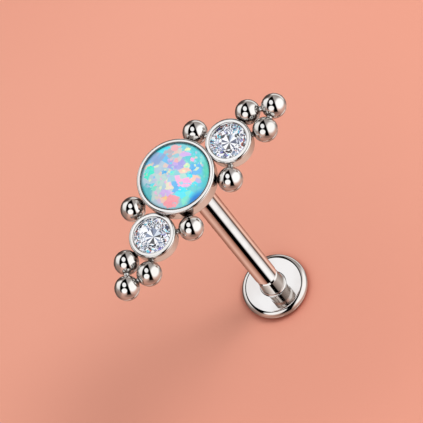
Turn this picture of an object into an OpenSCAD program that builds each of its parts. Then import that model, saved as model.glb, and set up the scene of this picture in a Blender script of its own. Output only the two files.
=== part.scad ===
// Labret stud: a flat disc back, a straight post, and a soldered cluster head
// with one opal, two round cut crystals and ten beads.
// All sizes are millimetres. The stud stands on its disc: the origin is the centre of
// the disc's back face and +Z runs up the post. X is the long way of the head, and the
// head bows towards +Y at both of its ends.

/* [Disc back] */
// Diameter of the disc
disc_d = 3.5; // [3:0.1:5]
// Thickness of the disc
disc_t = 0.6; // [0.4:0.05:1]
// Diameter of the collar that carries the post
collar_d = 1.2; // [1.1:0.02:1.4]
// Height of the collar above the disc
collar_h = 1.35; // [0.6:0.05:2]
// Radius of the fillet at the collar's foot
fillet_r = 0.06; // [0.05:0.01:0.2]

/* [Post] */
// Diameter of the post, 16 gauge
post_d = 1.2; // [1:0.05:1.6]
// Clear length from the disc to the underside of the beads
wear_length = 12.6; // [8:0.1:16]
// Diameter of the bore through the post
bore_d = 0.7; // [0.6:0.02:0.8]
// Bevel on the post's ends and on the collar's top edge
end_bevel = 0.1; // [0.04:0.01:0.15]

/* [Head] */
// Offset of the opal's centre from the post's axis along X
head_x = 0.2; // [0:0.1:0.5]
// Offset of the opal's centre from the post's axis along Y
head_y = -0.9; // [-1:0.1:0]
// Length of the hidden pin that goes down the post
pin_length = 5; // [3:0.5:7]
// Diameter of the beads
bead_d = 1.26; // [1.2:0.01:1.3]
// Diameter of the solder joints
solder_d = 0.34; // [0.24:0.02:0.5]
// Draft of the bezels' walls in degrees: each is a little narrower at its foot
wall_draft = 4; // [0:0.5:5]

/* [Opal] */
// Outside diameter of the opal's bezel
opal_bezel_d = 3.98; // [3.94:0.01:4.02]
// Height of the opal bezel's rim above the underside of the beads
opal_rim_z = 1.46; // [1.3:0.02:1.7]
// Height of the opal bezel's foot above the underside of the beads
opal_foot_z = 0.5; // [0:0.02:0.54]
// Diameter of the opal
opal_d = 3.6; // [3.4:0.02:3.64]
// Rise of the opal's dome
opal_dome_h = 0.36; // [0.2:0.02:0.5]

/* [Crystals] */
// Outside diameter of a crystal's bezel
crystal_bezel_d = 2.39; // [2.35:0.01:2.43]
// Height of a crystal bezel's rim above the underside of the beads
crystal_rim_z = 1.08; // [1.06:0.01:1.2]
// Height at which a crystal bezel's underside meets its wall
crystal_taper_z = 0.28; // [0.1:0.02:0.4]
// Diameter of a crystal at its girdle
crystal_d = 2; // [1.9:0.02:2.04]
// Width of the table as a share of the diameter
table_share = 0.56; // [0.5:0.01:0.62]

/* [Hidden] */

$fn = 96;
gap = 0.02;            // between pieces that meet
slide_gap = 0.03;      // round the pin and the spigot in the bore

disc_edge_r = disc_t / 2;
collar_top_z = disc_t + collar_h;
shaft_z0 = collar_top_z + gap;
head_z = disc_t + wear_length;
shaft_h = head_z + opal_foot_z - gap - shaft_z0;
spigot_d = bore_d - 2 * slide_gap;
spigot_h = 1.5;
bead_r = bead_d / 2;

// Places in the head, from the opal's centre, on the +X side; the -X side mirrors them.
crystal_at = [2.98, 0.84];
tip_bead = [5.75, 1.4];
inner_bead = [4.76, 0.49];
outer_bead = [4.54, 1.85];
upper_notch_bead = [2.44, -1.08];
lower_notch_bead = [1.53, 2.08];
beads = [tip_bead, inner_bead, outer_bead, upper_notch_bead, lower_notch_bead];

// Solder joints on the +X side: from a bead, to where, and the radius of what it meets there.
opal_rim_r = opal_bezel_d / 2;
crystal_rim_r = crystal_bezel_d / 2;
joints = [
    [tip_bead, inner_bead, bead_r],
    [tip_bead, outer_bead, bead_r],
    [inner_bead, crystal_at, crystal_rim_r],
    [outer_bead, crystal_at, crystal_rim_r],
    [upper_notch_bead, [0, 0], opal_rim_r],
    [upper_notch_bead, crystal_at, crystal_rim_r],
    [lower_notch_bead, [0, 0], opal_rim_r],
    [lower_notch_bead, crystal_at, crystal_rim_r],
];
joint_bite = 0.12;     // how far a solder joint runs into what it meets

// Heights inside the bezels, above the underside of the beads.
opal_floor_z = opal_foot_z + 0.15;
opal_edge_z = opal_rim_z - 0.13;
crystal_table_z = crystal_rim_z - 0.05;
crown_h = 0.27;
girdle_h = 0.05;
pavilion_h = 0.58;
girdle_z = crystal_table_z - crown_h;
culet_z = girdle_z - girdle_h - pavilion_h;
lip_bevel = 0.07;
rim_round = 0.14;
foot_round = 0.1;
taper_r = 0.5;         // radius of the flat under a crystal's bezel

// Points of an arc about a centre, from one angle to another.
function arc(centre, r, a0, a1, steps = 6) =
    [for (i = [0 : steps]) let (a = a0 + (a1 - a0) * i / steps) centre + r * [cos(a), sin(a)]];

// A ring of points at one height.
function ring(r, z, count, first = 0) =
    [for (i = [0 : count - 1]) let (a = first + 360 * i / count) [r * cos(a), r * sin(a), z]];

module at_head() {
    translate([head_x, head_y, head_z]) children();
}

module both_sides() {
    children();
    mirror([1, 0, 0]) children();
}

// Radius of a drafted wall at a height, from the straight part's top just under the rim.
function wall_radius(rim_r, rim_z, z) = rim_r - tan(wall_draft) * (rim_z - rim_round - z);

// A bezel cup turned from its foot's outline: wall, rounded rim, a lip over the stone's
// edge, and a pocket that narrows from a ledge to its floor.
module cup(foot, outer_r, rim_z, stone_r, edge_z, ledge_z, pocket_r, floor_z) {
    wall_r = stone_r + gap;
    lip_r = stone_r - 0.03;
    rotate_extrude()
        polygon(concat(
            foot,
            arc([outer_r - rim_round, rim_z - rim_round], rim_round, 0, 90, 5),
            [
                [lip_r + lip_bevel, rim_z],
                [lip_r, rim_z - lip_bevel],
                [lip_r, edge_z + 2 * gap],
                [wall_r, edge_z + gap],
                [wall_r, ledge_z],
                [pocket_r, floor_z],
                [0, floor_z],
            ]));
}

module opal_cup() {
    round_z = opal_foot_z + foot_round;
    round_at = [wall_radius(opal_rim_r, opal_rim_z, round_z) - foot_round, round_z];
    foot = concat([[0, opal_foot_z]], arc(round_at, foot_round, -90, 0, 4));
    stone_r = opal_d / 2;
    cup(foot, opal_rim_r, opal_rim_z, stone_r, opal_edge_z, opal_floor_z + 0.1, stone_r - 0.1, opal_floor_z);
}

module crystal_cup() {
    wall_foot_r = wall_radius(crystal_rim_r, crystal_rim_z, crystal_taper_z);
    foot = [[0, 0], [taper_r, 0], [wall_foot_r, crystal_taper_z]];
    ledge_z = girdle_z - girdle_h - gap;
    translate(crystal_at)
        cup(foot, crystal_rim_r, crystal_rim_z, crystal_d / 2, girdle_z, ledge_z, 0.12, culet_z - 0.06);
}

// Every bead stands on the same level as the foot of the crystals' bezels.
module bead(at) {
    translate([at.x, at.y, bead_r]) sphere(bead_r);
}

// A short round joint from a bead's middle to just inside the surface that it meets.
module solder(from, to, reach) {
    run = to - from;
    translate([from.x, from.y, bead_r])
        rotate([0, 90, atan2(run.y, run.x)])
            cylinder(h = norm(run) - reach + joint_bite, d = solder_d);
}

module pin() {
    translate([-head_x, -head_y, opal_foot_z - pin_length])
        cylinder(h = pin_length + 0.08, d = spigot_d);
}

module setting() {
    color("silver")
        at_head() {
            opal_cup();
            both_sides() {
                crystal_cup();
                for (at = beads) bead(at);
                for (j = joints) solder(j[0], j[1], j[2]);
            }
            pin();
        }
}

// A flat-backed stone with a low spherical dome.
module opal_cabochon() {
    r = opal_d / 2;
    dome_r = (r * r + opal_dome_h * opal_dome_h) / (2 * opal_dome_h);
    base_z = opal_floor_z + gap;
    color("paleturquoise")
        at_head()
            intersection() {
                translate([0, 0, base_z]) cylinder(h = opal_edge_z + opal_dome_h, r = r);
                translate([0, 0, opal_edge_z + opal_dome_h - dome_r]) sphere(dome_r);
                translate([0, 0, base_z]) cylinder(h = opal_edge_z + opal_dome_h, r1 = r - 0.12, r2 = r + 0.3);
            }
}

// A round brilliant: table, 8 stars, 8 kites, 16 upper and 16 lower girdle facets, 8 mains.
module brilliant() {
    r = crystal_d / 2;
    table_r = r * table_share;
    kite_at = 0.45;
    main_at = 0.78;
    shoulder_r = (table_r + (r - table_r) * kite_at) / cos(22.5);
    shoulder_z = crystal_table_z - crown_h * kite_at;
    keel_r = r * (1 - main_at) / cos(22.5);
    keel_z = girdle_z - girdle_h - pavilion_h * main_at;
    points = concat(
        ring(table_r, crystal_table_z, 8),
        ring(shoulder_r, shoulder_z, 8, 22.5),
        ring(r, girdle_z, 16),
        ring(r, girdle_z - girdle_h, 16),
        ring(keel_r, keel_z, 8, 22.5),
        [[0, 0, culet_z]]);
    table = 0;
    shoulder = 8;
    top = 16;
    low = 32;
    keel = 48;
    culet = 56;
    faces = concat(
        [[for (i = [7 : -1 : 0]) table + i]],
        [for (i = [0 : 7]) [table + i, table + (i + 1) % 8, shoulder + i]],
        [for (i = [0 : 7]) [table + i, shoulder + i, top + 2 * i, shoulder + (i + 7) % 8]],
        [for (i = [0 : 7]) [shoulder + i, top + 2 * i + 1, top + 2 * i]],
        [for (i = [0 : 7]) [shoulder + i, top + (2 * i + 2) % 16, top + 2 * i + 1]],
        [for (i = [0 : 15]) [top + i, top + (i + 1) % 16, low + (i + 1) % 16, low + i]],
        [for (i = [0 : 7]) [keel + i, low + 2 * i, low + 2 * i + 1]],
        [for (i = [0 : 7]) [keel + i, low + 2 * i + 1, low + (2 * i + 2) % 16]],
        [for (i = [0 : 7]) [culet, keel + (i + 7) % 8, low + 2 * i, keel + i]]);
    polyhedron(points, faces);
}

module crystal_left() {
    color("white")
        at_head() translate([-crystal_at.x, crystal_at.y]) brilliant();
}

module crystal_right() {
    color("white")
        at_head() translate(crystal_at) brilliant();
}

// A tube with bevelled ends: the pin goes down it and the spigot goes up it.
module post_shaft() {
    r = post_d / 2;
    color("silver")
        translate([0, 0, shaft_z0])
            rotate_extrude()
                polygon([
                    [bore_d / 2, 0],
                    [r - end_bevel, 0],
                    [r, end_bevel],
                    [r, shaft_h - end_bevel],
                    [r - end_bevel, shaft_h],
                    [bore_d / 2, shaft_h],
                ]);
}

// The disc with its rounded edge, the collar with its fillet, and the spigot on top.
module disc_back() {
    r = disc_d / 2;
    neck_r = collar_d / 2;
    color("silver")
        rotate_extrude()
            polygon(concat(
                [[0, 0]],
                arc([r - disc_edge_r, disc_edge_r], disc_edge_r, -90, 90, 12),
                arc([neck_r + fillet_r, disc_t + fillet_r], fillet_r, 270, 180, 5),
                [
                    [neck_r, collar_top_z - end_bevel],
                    [neck_r - end_bevel, collar_top_z],
                    [spigot_d / 2, collar_top_z],
                    [spigot_d / 2, collar_top_z + spigot_h],
                    [0, collar_top_z + spigot_h],
                ]));
}

setting();
opal_cabochon();
crystal_left();
crystal_right();
post_shaft();
disc_back();
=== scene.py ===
"""Finishes and fine meshes for a labret stud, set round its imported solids.

The stud stands on its disc. The head is soldered from one opal bezel, two crystal bezels and ten
beads. Sizes are millimetres, in the same frame as the solids, and become metres in the meshes.
"""

from __future__ import annotations

import logging
import math
from collections.abc import Iterable, Sequence
from dataclasses import dataclass, field
from enum import Enum

import bpy
from mathutils import Matrix, Vector


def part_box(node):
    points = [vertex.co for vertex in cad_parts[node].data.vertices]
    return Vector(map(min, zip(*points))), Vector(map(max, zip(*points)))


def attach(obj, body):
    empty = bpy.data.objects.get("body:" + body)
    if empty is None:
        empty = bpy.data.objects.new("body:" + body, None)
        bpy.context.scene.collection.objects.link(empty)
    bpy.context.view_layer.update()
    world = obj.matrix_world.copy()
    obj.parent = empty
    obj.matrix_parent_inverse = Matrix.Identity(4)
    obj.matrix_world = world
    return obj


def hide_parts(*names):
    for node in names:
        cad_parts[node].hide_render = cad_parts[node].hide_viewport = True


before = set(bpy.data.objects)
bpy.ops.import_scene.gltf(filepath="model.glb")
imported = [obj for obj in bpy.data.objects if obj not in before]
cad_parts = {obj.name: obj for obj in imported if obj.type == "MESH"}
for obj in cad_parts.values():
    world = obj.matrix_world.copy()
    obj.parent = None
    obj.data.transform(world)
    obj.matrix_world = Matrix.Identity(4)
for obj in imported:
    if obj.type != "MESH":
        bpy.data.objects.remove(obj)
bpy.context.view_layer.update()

LOG = logging.getLogger("labret_stud")
MM = 0.001
BODY = "root"
HOLD = 0.05
"""Millimetres from a rounding to the next ring, so that a long wall's shading stays straight."""
ON_AXIS = 1e-6
"""Millimetres from the axis within which a turned outline ends in one point."""
FACES_DOWN = -0.1
"""A face looks down if its normal's Z is less than this."""

UP = (0.0, 0.0, 1.0)

Colour = tuple[float, float, float]
Point = tuple[float, float]


def linear(red: float, green: float, blue: float) -> Colour:
    """Turn a colour as seen on a screen, 0 to 255, into the linear values of a shader.

    Args:
        red: Red, 0 to 255.
        green: Green, 0 to 255.
        blue: Blue, 0 to 255.

    Returns:
        The colour in linear light.
    """

    def channel(value: float) -> float:
        """Linear light of one channel."""
        share = value / 255
        return share / 12.92 if share <= 0.04045 else ((share + 0.055) / 1.055) ** 2.4

    return channel(red), channel(green), channel(blue)


def brighter(colour: Colour, times: float) -> Colour:
    """The colour with each channel multiplied."""
    return tuple(channel * times for channel in colour)


class Signal:
    """A value that varies over a surface or over the sky, with arithmetic that adds Math nodes."""

    def __init__(self, graph: Graph, socket: bpy.types.NodeSocket) -> None:
        """Wrap one output socket of a graph."""
        self.graph = graph
        self.socket = socket

    def _math(self, operation: str, first: Signal | float, second: Signal | float = 0.0) -> Signal:
        """Add one Math node.

        Args:
            operation: The node's operation.
            first: Its first value.
            second: Its second value.

        Returns:
            The node's result.
        """
        return self.graph.add("ShaderNodeMath", {"operation": operation}, {0: first, 1: second})

    def __add__(self, other: Signal | float) -> Signal:
        """Sum."""
        return self._math("ADD", self, other)

    def __radd__(self, other: float) -> Signal:
        """Sum with the number first."""
        return self._math("ADD", other, self)

    def __sub__(self, other: Signal | float) -> Signal:
        """Difference."""
        return self._math("SUBTRACT", self, other)

    def __rsub__(self, other: float) -> Signal:
        """Difference with the number first."""
        return self._math("SUBTRACT", other, self)

    def __mul__(self, other: Signal | float) -> Signal:
        """Product."""
        return self._math("MULTIPLY", self, other)

    def __truediv__(self, other: Signal | float) -> Signal:
        """Quotient."""
        return self._math("DIVIDE", self, other)

    def __abs__(self) -> Signal:
        """Size without its sign."""
        return self._math("ABSOLUTE", self)

    def most(self, other: Signal | float) -> Signal:
        """The larger of two."""
        return self._math("MAXIMUM", self, other)

    def root(self) -> Signal:
        """Square root."""
        return self._math("SQRT", self)

    def floor(self) -> Signal:
        """Whole part."""
        return self._math("FLOOR", self)

    def share(self) -> Signal:
        """What is left above the whole part."""
        return self._math("FRACT", self)

    def sine(self) -> Signal:
        """Sine of the angle."""
        return self._math("SINE", self)

    def cosine(self) -> Signal:
        """Cosine of the angle."""
        return self._math("COSINE", self)

    def bearing(self, across: Signal) -> Signal:
        """Angle whose sine runs along this value and whose cosine runs along the other."""
        return self._math("ARCTAN2", self, across)

    def rise(self, start: float, end: float) -> Signal:
        """Go smoothly from 0 at start to 1 at end; start may be the larger.

        Args:
            start: Value that gives 0.
            end: Value that gives 1.

        Returns:
            The mask.
        """
        settings = {"interpolation_type": "SMOOTHSTEP", "clamp": True}
        inputs = {"Value": self, "From Min": min(start, end), "From Max": max(start, end)}
        mask = self.graph.add("ShaderNodeMapRange", settings, inputs)
        return mask if start < end else 1 - mask

    def ramp(self, stops: Sequence[tuple[float, Colour]], step: bool = False) -> Signal:
        """Colour the value with a ramp.

        Args:
            stops: Places from 0 to 1 with their linear colours.
            step: True keeps each colour flat up to the next stop.

        Returns:
            The colour.
        """
        settings = {"stops": stops, "interpolation": "CONSTANT" if step else "LINEAR"}
        return self.graph.add("ShaderNodeValToRGB", settings, {0: self})


class MixSockets(Enum):
    """Where the Mix node has its two inputs and its output for one kind of value."""

    PLACE = (4, 5, 1)
    COLOUR = (6, 7, 2)


class Graph:
    """Adds nodes to one node tree."""

    def __init__(self, tree: bpy.types.NodeTree) -> None:
        """Start with an empty tree."""
        self.tree = tree
        tree.nodes.clear()

    def add(
        self,
        kind: str,
        settings: dict[str, object] | None = None,
        inputs: dict[int | str, object] | None = None,
        output: int | str = 0,
    ) -> Signal:
        """Add one node, with its settings first and then the values or links of its sockets.

        Args:
            kind: Blender's name for the type of node.
            settings: Properties of the node; "stops" fills a ramp.
            inputs: Socket index or name, with a Signal, number, vector or colour.
            output: Which output to hand back.

        Returns:
            That output as a Signal.
        """
        node = self.tree.nodes.new(kind)
        for name, value in (settings or {}).items():
            if name == "stops":
                self._fill_ramp(node.color_ramp, value)
            elif name == "interpolation":
                node.color_ramp.interpolation = value
            else:
                setattr(node, name, value)
        for name, value in (inputs or {}).items():
            self.feed(node.inputs[name], value)
        return Signal(self, node.outputs[output] if node.outputs else None)

    def feed(self, socket: bpy.types.NodeSocket, value: object) -> None:
        """Link a Signal to a socket, or set the socket's own value.

        Args:
            socket: The input socket.
            value: A Signal, a number, or three or four numbers.
        """
        if isinstance(value, Signal):
            self.tree.links.new(value.socket, socket)
        elif socket.type == "RGBA" and len(value) == 3:
            socket.default_value = (*value, 1.0)
        else:
            socket.default_value = value

    @staticmethod
    def _fill_ramp(ramp: bpy.types.ColorRamp, stops: Sequence[tuple[float, Colour]]) -> None:
        """Set a ramp's stops.

        Args:
            ramp: The ramp to fill.
            stops: Places from 0 to 1 with their colours.
        """
        while len(ramp.elements) < len(stops):
            ramp.elements.new(1.0)
        for element, (place, colour) in zip(ramp.elements, stops):
            element.position = place
            element.color = (*colour, 1.0)

    def mix(self, mask: Signal | float, low: object, high: object, blend: str = "MIX") -> Signal:
        """Mix two colours.

        Args:
            mask: 0 gives low and 1 gives high.
            low: A colour or Signal.
            high: A colour or Signal.
            blend: Blender's name for the way of mixing.

        Returns:
            The mixed colour.
        """
        first, second, output = MixSockets.COLOUR.value
        settings = {"data_type": "RGBA", "blend_type": blend}
        return self.add("ShaderNodeMix", settings, {0: mask, first: low, second: high}, output)

    def mix_places(self, mask: Signal | float, low: Signal, high: Signal) -> Signal:
        """Mix two places.

        Args:
            mask: 0 gives low and 1 gives high.
            low: A vector.
            high: A vector.

        Returns:
            The mixed place.
        """
        first, second, output = MixSockets.PLACE.value
        return self.add("ShaderNodeMix", {"data_type": "VECTOR"}, {0: mask, first: low, second: high}, output)

    def vector(self, operation: str, first: object, second: object = None, third: object = None) -> Signal:
        """Add one Vector Math node.

        Args:
            operation: The node's operation.
            first: Its first vector.
            second: Its second vector, if it has one.
            third: Its third vector, if it has one.

        Returns:
            The result, a number for DOT_PRODUCT and LENGTH.
        """
        given = {i: v for i, v in enumerate((first, second, third)) if v is not None}
        output = "Value" if operation in ("DOT_PRODUCT", "LENGTH") else "Vector"
        return self.add("ShaderNodeVectorMath", {"operation": operation}, given, output)

    def millimetres(self, centre: Vector | None = None) -> Signal:
        """Place on the piece in millimetres, from a centre.

        Args:
            centre: The centre in metres, or None for the frame's origin.

        Returns:
            The place as a vector.
        """
        place = self.add("ShaderNodeTexCoord", output="Object")
        away = centre or Vector((0.0, 0.0, 0.0))
        return self.vector("MULTIPLY_ADD", place, (1 / MM,) * 3, tuple(-away / MM))

    def parts(self, whole: Signal, kind: str = "ShaderNodeSeparateXYZ") -> tuple[Signal, Signal, Signal]:
        """The three numbers of a vector or, with the node for it, of a colour."""
        node = self.add(kind, {}, {0: whole}).socket.node
        return tuple(Signal(self, socket) for socket in node.outputs)

    def joined(self, x: Signal | float, y: Signal | float, z: Signal | float) -> Signal:
        """A vector of three numbers."""
        return self.add("ShaderNodeCombineXYZ", {}, {0: x, 1: y, 2: z})

    def closeness(self, reach: float, samples: int = 6) -> Signal:
        """How much of what is near hides the open sky from a place.

        Args:
            reach: How far a neighbour counts, in millimetres.
            samples: Rays for each look.

        Returns:
            0 in the open and 1 in a closed corner.
        """
        inputs = {"Distance": reach * MM}
        return 1 - self.add("ShaderNodeAmbientOcclusion", {"samples": samples}, inputs, "AO")

    def noise(self, place: Signal, scale: float, detail: float = 2.0, output: str = "Fac") -> Signal:
        """Soft noise.

        Args:
            place: Where, in millimetres.
            scale: Waves a millimetre.
            detail: Octaves.
            output: Fac or Color.

        Returns:
            The noise.
        """
        return self.add("ShaderNodeTexNoise", {}, {"Vector": place, "Scale": scale, "Detail": detail}, output)

    def chance(self, seed: Signal) -> Signal:
        """A number of chance for each number."""
        return self.add("ShaderNodeTexWhiteNoise", {"noise_dimensions": "1D"}, {"W": seed}, "Value")

    def bump(self, height: Signal, depth: float, strength: float = 1.0) -> Signal:
        """Small relief.

        Args:
            height: The relief, 0 to 1.
            depth: Its depth in millimetres.
            strength: How much of it shows.

        Returns:
            The normal.
        """
        return self.add(
            "ShaderNodeBump", {}, {"Strength": strength, "Distance": depth * MM, "Height": height}
        )

    def surface(self, inputs: dict[str, object]) -> None:
        """End the graph with one surface.

        Args:
            inputs: The surface's sockets, with their values or Signals.
        """
        shader = self.add("ShaderNodeBsdfPrincipled", {}, inputs)
        self.add("ShaderNodeOutputMaterial", {}, {"Surface": shader})


def new_material(name: str) -> tuple[bpy.types.Material, Graph]:
    """Make an empty material.

    Args:
        name: Its name.

    Returns:
        The material and the graph that fills it.
    """
    made = bpy.data.materials.new(name)
    made.use_nodes = True
    return made, Graph(made.node_tree)


class Slot(Enum):
    """Material slots of the finishes."""

    HEAD = "head_metal"
    POST = "post_metal"
    OPAL = "opal"
    CRYSTAL = "crystal"


@dataclass(frozen=True)
class PolishedMetal:
    """Mirror polished metal: faint smudges and polishing lines, rubbed edges, painted shade where parts meet.
    """

    name: str
    colour: Colour = linear(219, 217, 215)
    shade: Colour = linear(212, 209, 206)
    # Painted shade: the dark colour laid on where near parts hide the sky, standing in for shade and their
    # dark reflections.
    painted_shade: Colour = linear(74, 56, 48)
    painted_shade_reach: float = 0.38
    painted_shade_share: float = 0.92
    roughness: float = 0.03
    least_roughness: float = 0.02
    smudge: float = 0.05
    smudge_scale: float = 0.9
    lines: float = 0.02
    line_scale: tuple[float, float, float] = (9.0, 9.0, 55.0)
    ripple_mm: float = 0.0006
    ripple_scale: float = 1.6
    edge_wear: float = 0.05
    edge_bend: Point = (0.58, 0.7)

    def material(self) -> bpy.types.Material:
        """Make the material.

        Returns:
            A new material.
        """
        made, graph = new_material(self.name)
        place = graph.millimetres()
        smudges = graph.noise(place, self.smudge_scale, 3.0).rise(0.45, 0.75)
        lines = graph.noise(graph.vector("MULTIPLY", place, self.line_scale), 1.0)
        rubbed = graph.add("ShaderNodeNewGeometry", output="Pointiness").rise(*self.edge_bend)
        roughness = self.roughness + smudges * self.smudge
        roughness = roughness + (lines - 0.5) * self.lines + rubbed * self.edge_wear
        tint = graph.mix(graph.noise(place, 0.6).rise(0.35, 0.7), self.colour, self.shade)
        # Painted shade: darker where neighbouring parts close the metal in.
        painted_shade = graph.closeness(self.painted_shade_reach).rise(0.3, 0.9) * self.painted_shade_share
        ripple = graph.noise(place, self.ripple_scale, 1.0) + lines * 0.1
        graph.surface(
            {
                "Base Color": graph.mix(painted_shade, tint, self.painted_shade),
                "Metallic": 1.0,
                "Roughness": roughness.most(self.least_roughness),
                "Normal": graph.bump(ripple, self.ripple_mm),
            }
        )
        return made


class Hue(Enum):
    """The opal's play of colour."""

    CYAN = linear(60, 228, 244)
    SKY = linear(118, 196, 240)
    AZURE = linear(84, 178, 236)
    ROYAL = linear(10, 96, 214)
    AQUA = linear(92, 206, 212)
    TEAL = linear(88, 192, 200)
    GREEN = linear(92, 204, 174)
    MINT = linear(128, 230, 204)
    EMERALD = linear(40, 236, 204)
    CELADON = linear(192, 218, 212)
    SLATE = linear(142, 168, 212)
    MIST = linear(180, 204, 220)
    MAUVE = linear(190, 178, 188)
    VIOLET = linear(172, 164, 228)
    LILAC = linear(212, 178, 234)
    PINK = linear(250, 176, 220)
    ROSE = linear(240, 178, 184)
    CORAL = linear(250, 158, 168)
    PEACH = linear(244, 200, 182)
    CREAM = linear(236, 224, 198)
    LEMON = linear(236, 244, 186)
    LIME = linear(208, 242, 192)
    AMBER = linear(252, 206, 142)


@dataclass(frozen=True)
class Flake:
    """One large patch of the opal: its place on the face, its half sizes and its turn."""

    hue: Hue
    x: float
    y: float
    length: float
    width: float
    turn: float = 0.0


@dataclass(frozen=True)
class OpalFinish:
    """Polished opal: angular flakes of colour in a milky body, a teal tint and painted shade towards the
    edge, and a faint painted glow.
    """

    name: str = "opal_flakes"
    view_turn: float = 125.0
    cell: float = 4.0
    small_cell: float = 8.5
    wobble: float = 0.16
    slack: float = 0.22
    wash_share: float = 0.85
    speck_share: float = 0.75
    milk_share: float = 0.10
    # Dark teal of the edge: partly the stone's own tint, partly painted shade where the dome turns away.
    edge: Colour = linear(30, 84, 100)
    edge_shade_share: float = 0.8
    light: float = 0.89
    # Painted light: the stone glows faintly with its own colour, though it is no lamp.
    glow: float = 0.12
    ior: float = 1.45
    ripple_mm: float = 0.0008
    washes: tuple[Flake, ...] = (
        Flake(Hue.GREEN, -1.28, 1.10, 1.00, 0.34, 92.0),
        Flake(Hue.TEAL, -0.62, 1.66, 0.70, 0.36, 74.0),
        Flake(Hue.TEAL, 1.52, -0.72, 0.72, 0.30, -62.0),
        Flake(Hue.ROYAL, 0.32, 1.76, 0.90, 0.44, 45.0),
        Flake(Hue.SLATE, -0.10, -1.46, 0.60, 0.34, -35.0),
    )
    flakes: tuple[Flake, ...] = (
        Flake(Hue.SLATE, -0.02, -1.22, 0.52, 0.46),
        Flake(Hue.TEAL, 1.40, -0.64, 0.34, 0.36),
        Flake(Hue.CELADON, 1.30, -0.12, 0.30, 0.30),
        Flake(Hue.MIST, 0.10, -0.83, 0.24, 0.28),
        Flake(Hue.CELADON, 0.58, -0.36, 0.30, 0.26),
        Flake(Hue.SKY, 0.10, -1.66, 0.36, 0.18, 30.0),
        Flake(Hue.PEACH, 0.37, -1.48, 0.30, 0.08, 25.0),
        Flake(Hue.EMERALD, 0.65, -1.26, 0.20, 0.36),
        Flake(Hue.CYAN, -0.72, -1.46, 0.42, 0.16, 25.0),
        Flake(Hue.MAUVE, -0.84, -0.98, 0.30, 0.24),
        Flake(Hue.ROSE, -1.18, -0.90, 0.28, 0.13),
        Flake(Hue.CYAN, -1.03, -0.58, 0.14, 0.24, 20.0),
        Flake(Hue.LEMON, -1.44, -0.38, 0.15, 0.09, 30.0),
        Flake(Hue.LILAC, -1.06, -0.26, 0.28, 0.16, 20.0),
        Flake(Hue.SKY, -0.38, -0.74, 0.28, 0.24, 30.0),
        Flake(Hue.VIOLET, -0.48, -0.26, 0.42, 0.30),
        Flake(Hue.ROSE, -0.78, -0.36, 0.20, 0.12, 35.0),
        Flake(Hue.AZURE, -0.84, 0.76, 0.36, 0.36),
        Flake(Hue.PINK, -1.12, 0.32, 0.15, 0.12),
        Flake(Hue.LIME, -0.72, 0.26, 0.13, 0.17),
        Flake(Hue.PEACH, -0.40, 0.34, 0.28, 0.13, 20.0),
        Flake(Hue.MINT, -0.02, -0.04, 0.14, 0.12),
        Flake(Hue.AZURE, 0.20, -0.48, 0.17, 0.09),
        Flake(Hue.PEACH, -0.42, 1.02, 0.26, 0.14, 20.0),
        Flake(Hue.AQUA, -0.24, 1.42, 0.36, 0.32),
        Flake(Hue.TEAL, -1.18, 1.12, 0.16, 0.62),
        Flake(Hue.CYAN, -0.40, 0.72, 0.16, 0.10),
        Flake(Hue.AZURE, 0.42, 0.60, 0.32, 0.28, -40.0),
        Flake(Hue.CYAN, 0.50, 1.06, 0.42, 0.30, -20.0),
        Flake(Hue.PINK, 0.04, 0.58, 0.38, 0.27, -30.0),
        Flake(Hue.CREAM, 0.52, 0.16, 0.14, 0.32, 10.0),
        Flake(Hue.LILAC, 0.96, 0.26, 0.28, 0.17),
        Flake(Hue.CORAL, 1.20, 0.66, 0.46, 0.27),
        Flake(Hue.AMBER, 1.16, 0.42, 0.16, 0.10),
        Flake(Hue.PEACH, 1.38, 0.36, 0.15, 0.14),
        Flake(Hue.MINT, 1.04, -0.50, 0.17, 0.13),
        Flake(Hue.MINT, 0.72, 1.34, 0.20, 0.12, 20.0),
    )

    def material(self, centre: Vector, radius: float) -> bpy.types.Material:
        """Make the material.

        Args:
            centre: The opal's centre in metres.
            radius: The opal's radius in millimetres.

        Returns:
            A new material.
        """
        made, graph = new_material(self.name)
        place = graph.millimetres(centre)
        flat = graph.vector("MULTIPLY", place, (1.0, 1.0, 0.0))
        drift = graph.vector("SUBTRACT", graph.noise(flat, 2.2, output="Color"), (0.5, 0.5, 0.5))
        spot = graph.vector("MULTIPLY_ADD", drift, (self.wobble, self.wobble, 0.0), flat)
        coarse_place, coarse_chance = self._cell(graph, spot, self.cell)
        fine_place, fine_chance = self._cell(graph, spot, self.small_cell)
        chosen = graph.noise(flat, 1.5, 1.0).rise(0.50, 0.52)
        snapped = graph.mix_places(self.slack, graph.mix_places(chosen, coarse_place, fine_place), spot)
        chance = graph.mix(chosen, coarse_chance, fine_chance)
        colour = self._layout(graph, snapped)
        away = graph.vector("LENGTH", flat) / radius
        colour = self._specks(graph, colour, chance, away.rise(1.0, 0.7))
        colour = self._wash(graph, colour, flat)
        milk = graph.noise(flat, 1.1).rise(0.3, 0.75) * self.milk_share
        colour = graph.mix(milk, colour, Hue.MIST.value)
        # Towards the edge: a teal tint, then painted shade where the dome turns away.
        colour = graph.mix(away.rise(0.88, 1.0) * 0.35, colour, Hue.TEAL.value)
        colour = graph.mix(away.rise(0.90, 1.02) * self.edge_shade_share, colour, self.edge)
        colour = graph.mix(1.0, colour, (self.light,) * 3, "MULTIPLY")
        graph.surface(
            {
                "Base Color": colour,
                "Roughness": graph.noise(place, 0.8).rise(0.3, 0.8) * 0.05 + 0.06,
                "IOR": self.ior,
                "Specular IOR Level": 0.35,
                # Painted light: a faint glow in the stone's own colour.
                "Emission Color": colour,
                "Emission Strength": self.glow,
                "Normal": graph.bump(graph.noise(place, 1.3, 1.0), self.ripple_mm),
            }
        )
        return made

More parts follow.
